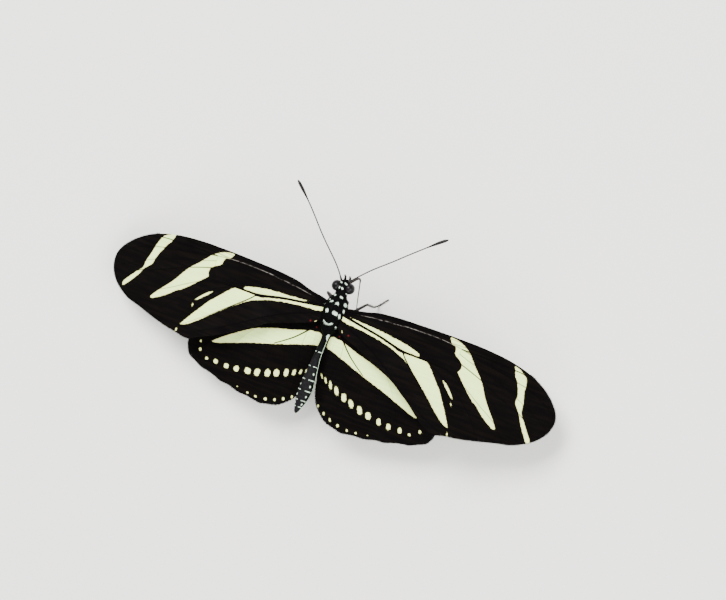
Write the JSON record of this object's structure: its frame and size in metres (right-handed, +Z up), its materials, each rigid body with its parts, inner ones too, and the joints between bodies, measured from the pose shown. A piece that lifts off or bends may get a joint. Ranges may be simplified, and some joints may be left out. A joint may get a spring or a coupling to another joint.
{
  "type": "zebra longwing butterfly",
  "caption": "Life-size still model of a zebra longwing butterfly with spread black wings striped in pale yellow, standing on its own legs.",
  "frame": {"origin": "on the floor under the middle of the whole butterfly's box", "axes": "+Z up; +Y along the body towards the head; +X towards the butterfly's own right wing tip"},
  "size_m": [0.0884, 0.0408, 0.0171],
  "materials": {
    "wing_scales": "velvety black wing scales with pale yellow-green stripes and spots",
    "body_coat": "short black hair and scales with white spots",
    "eye": "dark brown faceted dome with a soft shine",
    "cuticle": "smooth brown-black cuticle, satin"
  },
  "bodies": {
    "root": {"head": "body_coat", "thorax": "body_coat", "abdomen": "body_coat", "proboscis": "cuticle", "eye_right": "eye", "antenna_right": "cuticle", "palp_right": "body_coat", "forewing_right": "wing_scales", "hindwing_right": "wing_scales", "foreleg_right": "cuticle", "midleg_right": "cuticle", "hindleg_right": "cuticle", "eye_left": "eye", "antenna_left": "cuticle", "palp_left": "body_coat", "forewing_left": "wing_scales", "hindwing_left": "wing_scales", "foreleg_left": "cuticle", "midleg_left": "cuticle", "hindleg_left": "cuticle"}
  },
  "joints": []
}
